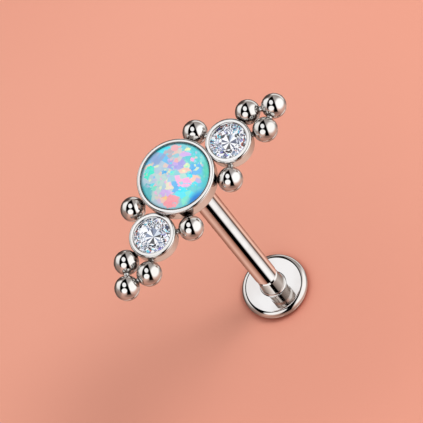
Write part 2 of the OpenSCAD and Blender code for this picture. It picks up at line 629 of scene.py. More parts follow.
    @staticmethod
    def _cell(graph: Graph, spot: Signal, scale: float) -> tuple[Signal, Signal]:
        """Cells with straight sides.

        Args:
            graph: Where the nodes go.
            spot: Place on the face.
            scale: Cells a millimetre.

        Returns:
            The cell's own place and its own colour of chance.
        """
        settings = {"voronoi_dimensions": "2D", "feature": "F1"}
        inputs = {"Vector": spot, "Scale": scale, "Randomness": 1.0}
        place = graph.add("ShaderNodeTexVoronoi", settings, inputs, "Position")
        chance = graph.add("ShaderNodeTexVoronoi", settings, inputs, "Color")
        return place, chance

    def _layout(self, graph: Graph, spot: Signal) -> Signal:
        """Lay the large flakes over the milky body.

        Args:
            graph: Where the nodes go.
            spot: Place on the face, the same all over one cell.

        Returns:
            The colour.
        """
        turn = math.radians(self.view_turn)
        across = graph.vector("DOT_PRODUCT", spot, (math.cos(turn), math.sin(turn), 0.0))
        colour = graph.mix(across.rise(-0.9, 1.0), Hue.MIST.value, Hue.AQUA.value)
        for flake in self.flakes:
            mask = self._out(graph, flake, spot).rise(1.12, 1.0)
            colour = graph.mix(mask, colour, flake.hue.value)
        return colour

    def _wash(self, graph: Graph, colour: Signal, spot: Signal) -> Signal:
        """Tint the flakes softly, mostly near the edge.

        Args:
            graph: Where the nodes go.
            colour: The flakes' colour.
            spot: Place on the face.

        Returns:
            The colour.
        """
        for wash in self.washes:
            mask = self._out(graph, wash, spot).rise(1.1, 0.3) * self.wash_share
            colour = graph.mix(mask, colour, wash.hue.value)
        return colour

    def _out(self, graph: Graph, flake: Flake, spot: Signal) -> Signal:
        """How far out of a flake a place lies.

        Args:
            graph: Where the nodes go.
            flake: The flake.
            spot: Place on the face.

        Returns:
            0 in the flake's middle and 1 at its edge.
        """
        bearing = math.radians(flake.turn + self.view_turn)
        along = (math.cos(bearing) / flake.length, math.sin(bearing) / flake.length, 0.0)
        aside = (-math.sin(bearing) / flake.width, math.cos(bearing) / flake.width, 0.0)
        gap = graph.vector("SUBTRACT", spot, (flake.x, flake.y, 0.0))
        long = graph.vector("DOT_PRODUCT", gap, along)
        wide = graph.vector("DOT_PRODUCT", gap, aside)
        return (long * long + wide * wide).root()

    def _specks(self, graph: Graph, colour: Signal, chance: Signal, strength: Signal) -> Signal:
        """Give some cells a hue of their own, and every cell its own lightness.

        Args:
            graph: Where the nodes go.
            colour: The layout's colour.
            chance: A colour of chance for each cell.
            strength: How much the specks may show.

        Returns:
            The colour.
        """
        red, green, blue = graph.parts(chance, "ShaderNodeSeparateColor")
        picks = (Hue.CYAN, Hue.LILAC, Hue.MINT, Hue.PEACH, Hue.SKY, Hue.LEMON, Hue.CELADON, Hue.PINK)
        stops = [(index / len(picks), hue.value) for index, hue in enumerate(picks)]
        other = red.ramp(stops, step=True)
        colour = graph.mix(green.rise(0.66, 0.68) * strength * self.speck_share, colour, other)
        return graph.mix(blue * 0.09, colour, (1.0, 1.0, 1.0))


class Spark(Enum):
    """Painted reflections of a cut stone's back facets: mostly white, some slate, and a little fire."""

    WHITE = linear(252, 252, 255)
    FROST = linear(206, 216, 230)
    SLATE = linear(120, 134, 162)
    STEEL = linear(66, 76, 104)
    NIGHT = linear(8, 10, 24)
    CYAN = linear(96, 206, 224)
    RUST = linear(196, 92, 66)
    VIOLET = linear(124, 112, 200)


@dataclass(frozen=True)
class Chips:
    """Straight-sided chips in one layer, by turns from the first and from the second half of the shares."""

    scale: float
    slope: float
    start: float
    shares: tuple[tuple[Spark, float], ...]

    def stops(self) -> list[tuple[float, Colour]]:
        """Stops of a stepped ramp that gives each kind its share.

        Returns:
            Places from 0 to 1 with their colours.
        """
        whole = sum(share for _, share in self.shares)
        made = []
        place = 0.0
        for spark, share in self.shares:
            made.append((place / whole, spark.value))
            place += share
        return made


@dataclass(frozen=True)
class CrystalFinish:
    """Clear crown over back facets painted with glowing reflections: a white star with sparks."""

    ior: float = 1.75
    arms: int = 14
    first_arm: float = 100.0
    arm_seed: float = 7.0
    half_seed: float = 5.0
    uneven: float = 0.17
    lean: Point = (0.03, 0.13)
    # Painted light: how brightly the back facets' painted reflections glow.
    shine: float = 0.96
    body_shade: float = 0.9
    ragged: float = 0.2
    middle_reach: Point = (0.36, 0.38)
    broad: Chips = Chips(
        scale=1.9,
        slope=0.7,
        start=0.3,
        shares=(
            (Spark.WHITE, 32),
            (Spark.FROST, 10),
            (Spark.SLATE, 8),
            (Spark.SLATE, 12),
            (Spark.STEEL, 16),
            (Spark.NIGHT, 14),
            (Spark.FROST, 8),
        ),
    )
    small: Chips = Chips(
        scale=4.6,
        slope=1.5,
        start=0.5,
        shares=(
            (Spark.WHITE, 40),
            (Spark.FROST, 10),
            (Spark.WHITE, 6),
            (Spark.SLATE, 14),
            (Spark.STEEL, 12),
            (Spark.NIGHT, 18),
        ),
    )
    sparks: Chips = Chips(
        scale=8.5,
        slope=1.2,
        start=0.5,
        shares=(
            (Spark.NIGHT, 30),
            (Spark.CYAN, 20),
            (Spark.WHITE, 20),
            (Spark.RUST, 16),
            (Spark.VIOLET, 14),
        ),
    )
    spark_share: float = 0.22
    spark_reach: Point = (0.3, 0.5)
    reshuffle: float = 9.0

    def crown(self, name: str) -> bpy.types.Material:
        """Make the clear material of table, crown and girdle.

        Args:
            name: Its name.

        Returns:
            A new material.
        """
        made, graph = new_material(name)
        place = graph.millimetres()
        graph.surface(
            {
                "Base Color": graph.mix(graph.noise(place, 2.0), (0.97, 0.98, 1.0), (1.0, 1.0, 1.0)),
                "Roughness": graph.noise(place, 1.5).rise(0.5, 0.8) * 0.01,
                "IOR": self.ior,
                "Specular IOR Level": 0.2,
                "Transmission Weight": 1.0,
            }
        )
        return made

    def back(self, name: str, table: Vector, radius: float, turn: float) -> bpy.types.Material:
        """Make the material of the back facets, painted with reflections that glow.

        Arms are counted from first_arm, so that no number is negative.

        Args:
            name: Its name.
            table: Middle of the table, in metres.
            radius: The stone's radius in millimetres.
            turn: Degrees that the star is turned by.

        Returns:
            A new material.
        """
        made, graph = new_material(name)
        x, y, z = graph.parts(graph.millimetres(table))
        x = x - z * self.lean[0]
        y = y - z * self.lean[1]
        out = (x * x + y * y).root() / radius
        angle = y.bearing(x) + math.radians(turn)
        angle = angle + (angle * 3.0 + turn).sine() * self.uneven
        around = angle * (self.arms / math.tau) + self.first_arm
        bend = abs(around.share() - 0.5) * (math.tau / self.arms)
        along = out * bend.cosine()
        aside = out * bend.sine()
        sector = around.floor() * self.arm_seed + turn
        half = (around * 2.0).floor() * self.half_seed + turn
        _, broad = self._chips(graph, self.broad, along, aside, sector)
        _, small = self._chips(graph, self.small, along, aside, half)
        chance, spark = self._chips(graph, self.sparks, along, aside, half)
        past = out - graph.chance(half) * self.ragged
        colour = graph.mix(past.rise(*self.middle_reach), broad, small)
        again = (chance * self.reshuffle).share()
        shown = again.rise(self.spark_share, self.spark_share - 0.01)
        colour = graph.mix(shown * out.rise(*self.spark_reach), colour, spark)
        # Painted reflections: the star and sparks glow by themselves over a nearly black lit colour.
        graph.surface(
            {
                "Base Color": graph.mix(self.body_shade, colour, (0.0, 0.0, 0.0)),
                "Roughness": 0.3,
                "Emission Color": colour,
                "Emission Strength": self.shine,
            }
        )
        return made

    @staticmethod
    def _chips(
        graph: Graph,
        chips: Chips,
        along: Signal,
        aside: Signal,
        seed: Signal,
    ) -> tuple[Signal, Signal]:
        """Break the face into chips, the same on both sides of an arm.

        Args:
            graph: Where the nodes go.
            chips: Their size and shares.
            along: Place along the nearest arm.
            aside: Place beside it.
            seed: A whole number that differs from arm to arm.

        Returns:
            A number of chance for each chip, and its colour.
        """
        first = ((along + aside * chips.slope) * chips.scale).floor()
        second = ((along - aside * chips.slope) * chips.scale + chips.start).floor()
        spot = graph.joined(first, second, seed)
        chance = graph.add("ShaderNodeTexWhiteNoise", {"noise_dimensions": "3D"}, {"Vector": spot}, "Value")
        by_turns = ((first + second + seed) * 0.5).share()
        within_half = chance * 0.499
        return chance, (within_half + by_turns).ramp(chips.stops(), step=True)


@dataclass(frozen=True)
class PaperFinish:
    """Matt pale coral paper for the floor, with a painted contact shadow where the stud stands close over it.
    """

    name: str = "pale_paper"
    colour: Colour = linear(236, 164, 142)
    shade: Colour = linear(231, 156, 134)
    # Painted shadow: the dark red laid on the paper round the stud's foot.
    painted_shadow: Colour = linear(158, 66, 48)
    painted_shadow_reach: float = 1.2
    painted_shadow_share: float = 0.8
    grain_scale: float = 6.0
    grain_mm: float = 0.02

    def material(self) -> bpy.types.Material:
        """Make the material.

        Returns:
            A new material.
        """
        made, graph = new_material(self.name)
        place = graph.millimetres()
        soft = graph.mix(graph.noise(place, 0.03, 1.0).rise(0.3, 0.7), self.shade, self.colour)
        grain = graph.noise(place, self.grain_scale, 3.0)
        # Painted contact shadow: darker where the stud is near the paper.
        painted_shadow = graph.closeness(self.painted_shadow_reach, samples=12).rise(0.0, 0.65) * self.painted_shadow_share
        soft = graph.mix(painted_shadow, soft, self.painted_shadow)
        graph.surface(
            {
                "Base Color": graph.mix(grain * 0.12, soft, self.shade),
                "Roughness": 0.9,
                "Specular IOR Level": 0.1,
                "Normal": graph.bump(grain, self.grain_mm, strength=0.2),
            }
        )
        return made


@dataclass
class Corner:
    """A corner of a turned outline: its radius from the axis, its height and its rounding."""

    r: float
    z: float
    rounding: float = 0.0


def rounded(corners: Sequence[Corner], step: float = 8.0) -> list[Point]:
    """Round the corners of a turned outline.

    Args:
        corners: The outline from its first point to its last.
        step: Degrees of arc between two points.

    Returns:
        The outline's points, radius and height.
    """
    points: list[Point] = []
    for index, corner in enumerate(corners):
        here = Vector((corner.r, corner.z))
        if corner.rounding == 0 or index in (0, len(corners) - 1):
            points.append(tuple(here))
            continue
        before = corners[index - 1]
        after = corners[index + 1]
        back = (Vector((before.r, before.z)) - here).normalized()
        onward = (Vector((after.r, after.z)) - here).normalized()
        half = back.angle(onward) / 2
        centre = here + (back + onward).normalized() * (corner.rounding / math.sin(half))
        reach = corner.rounding / math.tan(half)
        first = here + back * reach - centre
        last = here + onward * reach - centre
        turn = first.angle(last)
        count = max(2, math.ceil(math.degrees(turn) / step))
        for part in range(count + 1):
            share = part / count
            mixed = first * math.sin((1 - share) * turn) + last * math.sin(share * turn)
            points.append(tuple(centre + mixed / math.sin(turn)))
    return points


@dataclass
class Shape:
    """Closed forms gathered for one piece, in millimetres."""

    points: list[Vector] = field(default_factory=list)
    faces: list[tuple[int, ...]] = field(default_factory=list)

    def turn(
        self,
        outline: Sequence[Point],
        at: Vector,
        steps: int = 192,
        aim: Matrix | None = None,
        closed: bool = False,
    ) -> None:
        """Turn an outline about an axis.

        Args:
            outline: Radius and height of each point, from the bottom to the top, or anticlockwise.
            at: Where the outline's zero height lies.
            steps: Points round the axis.
            aim: A rotation of the axis away from +Z.
            closed: True joins the last point to the first, in an outline that stays clear of the axis.
        """
        rings = [self._ring(radius, height, at, steps, aim) for radius, height in outline]
        if closed:
            rings.append(rings[0])
        for low, high in zip(rings, rings[1:]):
            self._band(low, high, steps)

    def _ring(self, radius: float, height: float, at: Vector, steps: int, aim: Matrix | None) -> list[int]:
        """Add a ring of points, or one point on the axis.

        Args:
            radius: Its radius.
            height: Its place along the axis.
            at: Where zero height lies.
            steps: Points round the axis.
            aim: A rotation of the axis away from +Z.

        Returns:
            The numbers of its points.
        """
        ring = []
        for index in range(1 if radius < ON_AXIS else steps):
            angle = math.tau * index / steps
            local = Vector((radius * math.cos(angle), radius * math.sin(angle), height))
            ring.append(len(self.points))
            self.points.append(at + (aim @ local if aim else local))
        return ring

    def _band(self, low: list[int], high: list[int], steps: int) -> None:
        """Join two rings, one of which may be a single point.

        Args:
            low: The lower ring.
            high: The upper ring.
            steps: Points round the axis.
        """
        for index in range(steps):
            after = (index + 1) % steps
            if len(low) == 1:
                self.faces.append((low[0], high[after], high[index]))
            elif len(high) == 1:
                self.faces.append((low[index], low[after], high[0]))
            else:
                self.faces.append((low[index], low[after], high[after], high[index]))

    def ball(self, centre: Vector, radius: float, cuts: int = 20) -> None:
        """Add a ball whose faces are all four-sided.

        Args:
            centre: Its centre.
            radius: Its radius.
            cuts: Faces along each side of the cube that it is blown up from.
        """
        sides = (
            (Vector((1, 0, 0)), Vector((0, 1, 0)), Vector((0, 0, 1))),
            (Vector((0, 1, 0)), Vector((1, 0, 0)), Vector((0, 0, -1))),
            (Vector((0, 1, 0)), Vector((0, 0, 1)), Vector((1, 0, 0))),
            (Vector((0, 0, 1)), Vector((0, 1, 0)), Vector((-1, 0, 0))),
            (Vector((0, 0, 1)), Vector((1, 0, 0)), Vector((0, 1, 0))),
            (Vector((1, 0, 0)), Vector((0, 0, 1)), Vector((0, -1, 0))),
        )
        known: dict[tuple[int, ...], int] = {}

        def corner(across: Vector, along: Vector, out: Vector, column: int, row: int) -> int:
            """Find or add one point, which the faces beside it share.

            Args:
                across: The side's first direction.
                along: The side's second direction.
                out: The way that the side faces.
                column: Place along the first direction.
                row: Place along the second.

            Returns:
                The point's number.
            """
            cube = across * (2 * column - cuts) + along * (2 * row - cuts) + out * cuts
            key = tuple(round(value) for value in cube)
            if key not in known:
                bent = Vector([math.tan(value / cuts * math.pi / 4) for value in cube])
                known[key] = len(self.points)
                self.points.append(centre + bent.normalized() * radius)
            return known[key]

        for side in sides:
            for column in range(cuts):
                for row in range(cuts):
                    square = ((column, row), (column + 1, row), (column + 1, row + 1), (column, row + 1))
                    self.faces.append(tuple(corner(*side, *at) for at in square))

    def piece(
        self,
        name: str,
        material: bpy.types.Material,
        sharp: float | None = 40.0,
        back: bpy.types.Material | None = None,
    ) -> bpy.types.Object:
        """Make the object.

        Args:
            name: Its plain name.
            material: Its finish.
            sharp: Edges that turn by more degrees stay sharp; None keeps every face flat.
            back: Finish of the faces that look down, where it differs.

        Returns:
            The object, linked to the scene.
        """
        mesh = bpy.data.meshes.new(name)
        mesh.from_pydata([point * MM for point in self.points], [], self.faces)
        mesh.validate()
        mesh.materials.append(material)
        if back is not None:
            mesh.materials.append(back)
            for polygon in mesh.polygons:
                polygon.material_index = int(polygon.normal.z < FACES_DOWN)
        if sharp is not None:
            mesh.polygons.foreach_set("use_smooth", [True] * len(mesh.polygons))
            mesh.set_sharp_from_angle(angle=math.radians(sharp))
        made = bpy.data.objects.new(name, mesh)
        bpy.context.scene.collection.objects.link(made)
        return made


def place(made: bpy.types.Object, node: str, slot: Slot) -> bpy.types.Object:
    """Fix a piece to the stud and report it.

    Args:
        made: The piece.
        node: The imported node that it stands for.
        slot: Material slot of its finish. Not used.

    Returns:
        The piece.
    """
    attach(made, BODY)
    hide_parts(node)
    triangles = sum(len(polygon.vertices) - 2 for polygon in made.data.polygons)
    LOG.info("%s stands for %s: %d triangles", made.name, node, triangles)
    return made


def middle(node: str) -> Vector:
    """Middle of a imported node's box, in millimetres."""
    low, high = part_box(node)
    return (low + high) / 2 / MM


@dataclass
class DiscBack:
    """The flat disc, its collar and the spigot that goes up the post's bore."""

    disc_d: float = 3.5
    disc_t: float = 0.6
    collar_d: float = 1.2
    collar_h: float = 1.35
    fillet_r: float = 0.1
    taper: float = 0.025
    chamfer_w: float = 0.2
    chamfer_h: float = 0.115
    shoulder_round: float = 0.015
    edge_round: float = 0.02
    root_depth: float = 0.1
    spigot_d: float = 0.64
    spigot_h: float = 1.5
    tip_bevel: float = 0.05
    back_rings: tuple[float, ...] = (0.0, 0.35, 0.7, 0.92)
    plate_rings: tuple[float, ...] = (0.95, 0.85, 0.7, 0.35, 0.0)
    edge_step: int = 5
    fillet_step: int = 9

    def disc(self) -> list[Point]:
        """Half outline of the disc, from the middle of the back over the edge to the middle of the plate.

        Returns:
            Radius and height of each point.
        """
        edge = self.disc_t / 2
        flat_r = self.disc_d / 2 - edge
        back = [(share * flat_r, 0.0) for share in self.back_rings]
        rim = []
        for degrees in range(0, 181, self.edge_step):
            bend = math.radians(degrees)
            rim.append((flat_r + edge * math.sin(bend), edge - edge * math.cos(bend)))
        plate = [(share * flat_r, self.disc_t) for share in self.plate_rings]
        return back + rim + plate

    def collar(self) -> list[Point]:
        """Half outline of the collar, from its root in the disc to the spigot's tip.

        Returns:
            Radius and height of each point.
        """
        spigot = self.spigot_d / 2
        top = self.disc_t + self.collar_h
        tip = top + self.spigot_h
        root = self.disc_t - self.root_depth
        low = self.disc_t + self.fillet_r
        high = top - self.chamfer_h
        low_r = self.collar_d / 2 + self.taper
        high_r = self.collar_d / 2 - self.taper
        hold_r = (low_r - high_r) * HOLD / (high - low)
        foot = [(0.0, root), (low_r + self.fillet_r, root)]
        for degrees in range(0, 91, self.fillet_step):
            bend = math.radians(degrees)
            out = low_r + self.fillet_r * (1 - math.sin(bend))
            foot.append((out, self.disc_t + self.fillet_r * (1 - math.cos(bend))))
        body = rounded(
            [
                Corner(low_r - hold_r, low + HOLD),
                Corner(high_r + hold_r, high - HOLD),
                Corner(high_r, high, self.shoulder_round),
                Corner(high_r - self.chamfer_w, top, self.edge_round),
                Corner(spigot, top),
                Corner(spigot, tip - self.tip_bevel, self.edge_round),
                Corner(spigot - self.tip_bevel, tip, self.edge_round),
                Corner(0.0, tip),
            ]
        )
        return foot + body

    def build(self, finish: bpy.types.Material) -> list[bpy.types.Object]:
        """Make and place the disc and its collar.

        The post and the collar mirror the sky in place of the disc. The photograph shows the post from
        a lower angle than the head, where its mirror image misses the disc.

        Args:
            finish: Their metal.

        Returns:
            The pieces.
        """
        centre = middle("disc_back")
        at = Vector((centre.x, centre.y, 0.0))
        made = []
        for name, outline in (("disc", self.disc()), ("collar", self.collar())):
            shape = Shape()
            shape.turn(outline, at)
            made.append(place(shape.piece(name, finish), "disc_back", Slot.POST))
        disc = made[0]
        disc.visible_glossy = False
        return made


@dataclass
class PostShaft:
    """The straight tube between the collar and the head."""

    post_d: float = 1.2
    bore_d: float = 0.7
    low_bevel: float = 0.15
    bevel: float = 0.1
    edge_round: float = 0.025
    bore_round: float = 0.02
    seam: float = 0.01

    def build(self, finish: bpy.types.Material) -> bpy.types.Object:
        """Make and place the piece.

        Args:
            finish: Its metal.

        Returns:
            The piece.
        """
        low, high = (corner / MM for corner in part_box("post_shaft"))
        post_r = self.post_d / 2
        bore_r = self.bore_d / 2
        height = high.z - low.z
        outline = rounded(
            [
                Corner(bore_r, height / 2),
                Corner(bore_r, 0.0, self.bore_round),
                Corner(post_r - self.bevel, 0.0, self.edge_round),
                Corner(post_r, self.low_bevel, self.edge_round),
                Corner(post_r, self.low_bevel + HOLD),
                Corner(post_r, height - self.bevel - HOLD),
                Corner(post_r, height - self.bevel, self.edge_round),
                Corner(post_r - self.bevel, height, self.edge_round),
                Corner(bore_r, height, self.bore_round),
                Corner(bore_r, height / 2 + self.seam),
            ]
        )
        shape = Shape()
        centre = middle("post_shaft")
        shape.turn(outline, Vector((centre.x, centre.y, low.z)), closed=True)
        return place(shape.piece("post_tube", finish), "post_shaft", Slot.POST)


@dataclass
class Bezel:
    """A turned cup with a drafted wall, a flat rim with a rounded edge and a small lip over the stone."""

    rim_r: float
    rim_z: float
    foot_z: float
    flat_r: float
    stone_r: float
    edge_z: float
    pocket_r: float
    pocket_z: float
    floor_z: float
    opening_r: float
    lip_w: float
    lip_drop: float
    draft: float = 4.0
    rim_flat: float = 0.09
    rim_drop: float = 0.10
    rim_hold: float = 0.01
    flat_round: float = 0.15
    foot_round: float = 0.1
    lip_round: float = 0.004
    groove_at: float = 0.7
    crest_at: float = 0.45
    crest_drop: float = 0.6
    opening_drop: float = 0.9
    opening_round: float = 0.006
    opening_h: float = 0.14
    gap: float = 0.02
    edge_step: int = 6

    def wall_r(self, z: float) -> float:
        """Radius of the drafted wall at a height."""
        return self.rim_r - math.tan(math.radians(self.draft)) * (self.rim_z - self.rim_drop - z)

    def outline(self) -> list[Point]:
        """Half outline, from the middle of the underside over the rim to the pocket's floor.

        Returns:
            Radius and height of each point.
        """
        foot = [Corner(0.0, 0.0)]
        if self.flat_r:
            foot.append(Corner(self.flat_r, 0.0, self.flat_round))
        else:
            foot[0].z = self.foot_z
        shoulder_z = self.rim_z - self.rim_drop
        low_z = self.foot_z + self.foot_round + HOLD
        wall = rounded(
            [
                *foot,
                Corner(self.wall_r(self.foot_z), self.foot_z, self.foot_round),
                Corner(self.wall_r(low_z), low_z),
                Corner(self.wall_r(shoulder_z - HOLD), shoulder_z - HOLD),
                Corner(self.rim_r, shoulder_z),
            ]
        )
        inner_r = self.opening_r + self.lip_w
        bend_r = inner_r + self.rim_flat
        width = self.rim_r - bend_r
        edge = []
        for degrees in range(90 - self.edge_step, -1, -self.edge_step):
            bend = math.radians(degrees)
            edge.append((bend_r + width * math.sin(bend), shoulder_z + self.rim_drop * math.cos(bend)))
        edge.append((bend_r - self.rim_hold, self.rim_z))
        edge.append((inner_r + self.rim_hold, self.rim_z))
        groove_r = self.opening_r + self.lip_w * self.groove_at
        crest_r = self.opening_r + self.lip_w * self.crest_at
        lip = rounded(
            [
                Corner(inner_r, self.rim_z),
                Corner(groove_r, self.rim_z - self.lip_drop, self.lip_round),
                Corner(crest_r, self.rim_z - self.lip_drop * self.crest_drop, self.lip_round),
                Corner(self.opening_r, self.rim_z - self.lip_drop * self.opening_drop, self.opening_round),
                Corner(self.opening_r, self.edge_z + self.opening_h),
                Corner(self.stone_r + self.gap, self.edge_z + self.gap),
                Corner(self.stone_r + self.gap, self.pocket_z),
                Corner(self.pocket_r, self.floor_z),
                Corner(0.0, self.floor_z),
            ]
        )
        return wall + edge + lip


@dataclass
class Solder:
    """A small bright joint between two round faces: thick at both ends, thinner in the middle."""

    waist_d: float = 0.30
    flare: float = 0.1
    bite: float = 0.12
    rings: int = 12
    steps: int = 40

    def add(self, shape: Shape, start: Vector, end: Vector, start_r: float, end_r: float) -> None:
        """Add one joint to a shape.

        Args:
            shape: What it becomes part of.
            start: Centre of the round face that it leaves.
            end: Centre of the round face that it meets.
            start_r: Radius of the first face.
            end_r: Radius of the second face.
        """
        run = end - start
        low = start_r - self.bite
        high = run.length - end_r + self.bite
        centre = (low + high) / 2
        half = (high - low) / 2
        outline = [(0.0, low)]
        for part in range(self.rings + 1):
            share = 2 * part / self.rings - 1
            radius = self.waist_d / 2 + self.flare * share * share * abs(share)
            outline.append((radius, centre + share * half))
        outline.append((0.0, high))
        shape.turn(outline, start, self.steps, run.to_track_quat("Z", "Y").to_matrix())


@dataclass(frozen=True)
class BeadSpot:
    """Where one bead of the right side lies, from the opal's centre."""

    name: str
    x: float
    y: float


@dataclass
class Head:
    """The soldered head: three bezels, ten beads, their solder and the hidden pin."""

    bead_d: float = 1.26
    underside_z: float = 13.2
    crystal_x: float = 2.98
    crystal_y: float = 0.84
    pin_d: float = 0.64
    pin_length: float = 5.0
    pin_root: float = 0.08
    pin_round: float = 0.04
    beads: tuple[BeadSpot, ...] = (
        BeadSpot("tip", 5.75, 1.4),
        BeadSpot("inner", 4.76, 0.49),
        BeadSpot("outer", 4.54, 1.85),
        BeadSpot("upper_notch", 2.44, -1.08),
        BeadSpot("lower_notch", 1.53, 2.08),
    )
    solder: Solder = field(default_factory=Solder)
    opal_cup: Bezel = field(
        default_factory=lambda: Bezel(
            rim_r=1.99,
            rim_z=1.46,
            foot_z=0.5,
            flat_r=0.0,
            stone_r=1.8,
            edge_z=1.33,
            pocket_r=1.7,
            pocket_z=0.75,
            floor_z=0.65,
            opening_r=1.76,
            lip_w=0.05,
            lip_drop=0.05,
        )
    )
    crystal_cup: Bezel = field(
        default_factory=lambda: Bezel(
            rim_r=1.195,
            rim_z=1.08,
            foot_z=0.28,
            flat_r=0.5,
            stone_r=1.0,
            edge_z=0.76,
            pocket_r=0.12,
            pocket_z=0.69,
            floor_z=0.07,
            opening_r=0.93,
            lip_w=0.05,
            lip_drop=0.06,
            rim_flat=0.11,
            rim_drop=0.12,
            foot_round=0.06,
        )
    )

    def spot(self, x: float, y: float, z: float = 0.0) -> Vector:
        """A place in the frame from one in the head, measured from the opal's centre."""
        opal = middle("opal_cabochon")
        return Vector((opal.x + x, opal.y + y, self.underside_z + z))

    def build(
        self,
        metal: bpy.types.Material,
        bezel_metal: bpy.types.Material,
        joint_metal: bpy.types.Material,
    ) -> list[bpy.types.Object]:
        """Make and place the whole setting.

        Args:
            metal: Finish of beads and pin.
            bezel_metal: Finish of the bezels.
            joint_metal: Finish of the solder.

        Returns:
            The pieces.
        """
        made = [self._bezel(self.opal_cup, "opal_bezel", self.spot(0, 0), bezel_metal)]
        for side, sign in (("right", 1), ("left", -1)):
            at = self.spot(sign * self.crystal_x, self.crystal_y)
            made.append(self._bezel(self.crystal_cup, f"crystal_bezel_{side}", at, bezel_metal))
            made += self._beads(side, sign, metal)
            made.append(self._joints(side, sign, joint_metal))
        made.append(self._pin(metal))
        return made

    @staticmethod
    def _bezel(cup: Bezel, name: str, at: Vector, metal: bpy.types.Material) -> bpy.types.Object:
        """Make and place one bezel.

        Args:
            cup: Its sizes.
            name: Its name.
            at: Its axis, at the level of the beads' underside.
            metal: Its finish.

        Returns:
            The piece.
        """
        shape = Shape()
        shape.turn(cup.outline(), at)
        return place(shape.piece(name, metal), "setting", Slot.HEAD)

    def _beads(self, side: str, sign: int, metal: bpy.types.Material) -> list[bpy.types.Object]:
        """Make and place the beads of one side.

        Args:
            side: Name of the side.
            sign: 1 for +X and -1 for -X.
            metal: Their finish.

        Returns:
            The beads.
        """
        made = []
        for bead in self.beads:
            shape = Shape()
            shape.ball(self.spot(sign * bead.x, bead.y, self.bead_d / 2), self.bead_d / 2)
            made.append(place(shape.piece(f"bead_{bead.name}_{side}", metal), "setting", Slot.HEAD))
        return made

    def _joints(self, side: str, sign: int, metal: bpy.types.Material) -> bpy.types.Object:
        """Make and place the solder of one side.

        Args:
            side: Name of the side.
            sign: 1 for +X and -1 for -X.
            metal: Its finish.

        Returns:
            The piece.
        """
        bead_r = self.bead_d / 2
        at = {bead.name: self.spot(sign * bead.x, bead.y, bead_r) for bead in self.beads}
        at["crystal"] = self.spot(sign * self.crystal_x, self.crystal_y, bead_r)
        at["opal"] = self.spot(0, 0, bead_r)
        reach = dict.fromkeys(at, bead_r)
        reach["crystal"] = self.crystal_cup.wall_r(bead_r)
        reach["opal"] = self.opal_cup.wall_r(bead_r)
        pairs = (
            ("tip", "inner"),
            ("tip", "outer"),
            ("inner", "crystal"),
            ("outer", "crystal"),
            ("upper_notch", "opal"),
            ("upper_notch", "crystal"),
            ("lower_notch", "opal"),
            ("lower_notch", "crystal"),
        )
        shape = Shape()
        for start, end in pairs:
            self.solder.add(shape, at[start], at[end], reach[start], reach[end])
        return place(shape.piece(f"solder_{side}", metal), "setting", Slot.HEAD)

    def _pin(self, metal: bpy.types.Material) -> bpy.types.Object:
        """Make and place the hidden pin that goes down the post.

        Args:
            metal: Its finish.

        Returns:
            The piece.
        """
        pin_r = self.pin_d / 2
        top = self.underside_z + self.opal_cup.foot_z + self.pin_root
        low = self.underside_z + self.opal_cup.foot_z - self.pin_length
        corners = [
            Corner(0.0, low),
            Corner(pin_r, low, self.pin_round),
            Corner(pin_r, top),
            Corner(0.0, top),
        ]
        post = middle("post_shaft")
        shape = Shape()
        shape.turn(rounded(corners), Vector((post.x, post.y, 0.0)), steps=64)
        return place(shape.piece("head_pin", metal), "setting", Slot.HEAD)


@dataclass
class Opal:
    """The domed opal."""

    radius: float = 1.8
    dome: float = 0.36
    foot_in: float = 0.1
    side_in: float = 0.02
    side_h: float = 0.24
    rings: int = 40
    finish: OpalFinish = field(default_factory=OpalFinish)

    def build(self) -> bpy.types.Object:
        """Make and place the opal.

        Returns:
            The piece.
        """
        low, high = (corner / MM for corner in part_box("opal_cabochon"))
        edge_r = self.radius
        base = low.z
        edge = high.z - self.dome
        dome_r = (edge_r * edge_r + self.dome * self.dome) / (2 * self.dome)
        outline = [
            (0.0, base),
            (edge_r * 0.5, base),
            (edge_r - self.foot_in, base),
            (edge_r - self.side_in, base + self.side_h),
            (edge_r, edge - self.side_in),
        ]
        for index in range(self.rings + 1):
            out = edge_r * (1 - index / self.rings)
            outline.append((out, high.z - dome_r + math.sqrt(dome_r * dome_r - out * out)))
        shape = Shape()
        centre = middle("opal_cabochon")
        axis = Vector((centre.x, centre.y, 0.0))
        shape.turn(outline, axis, steps=160)
        material = self.finish.material(axis * MM, edge_r)
        return place(shape.piece("opal_stone", material), "opal_cabochon", Slot.OPAL)


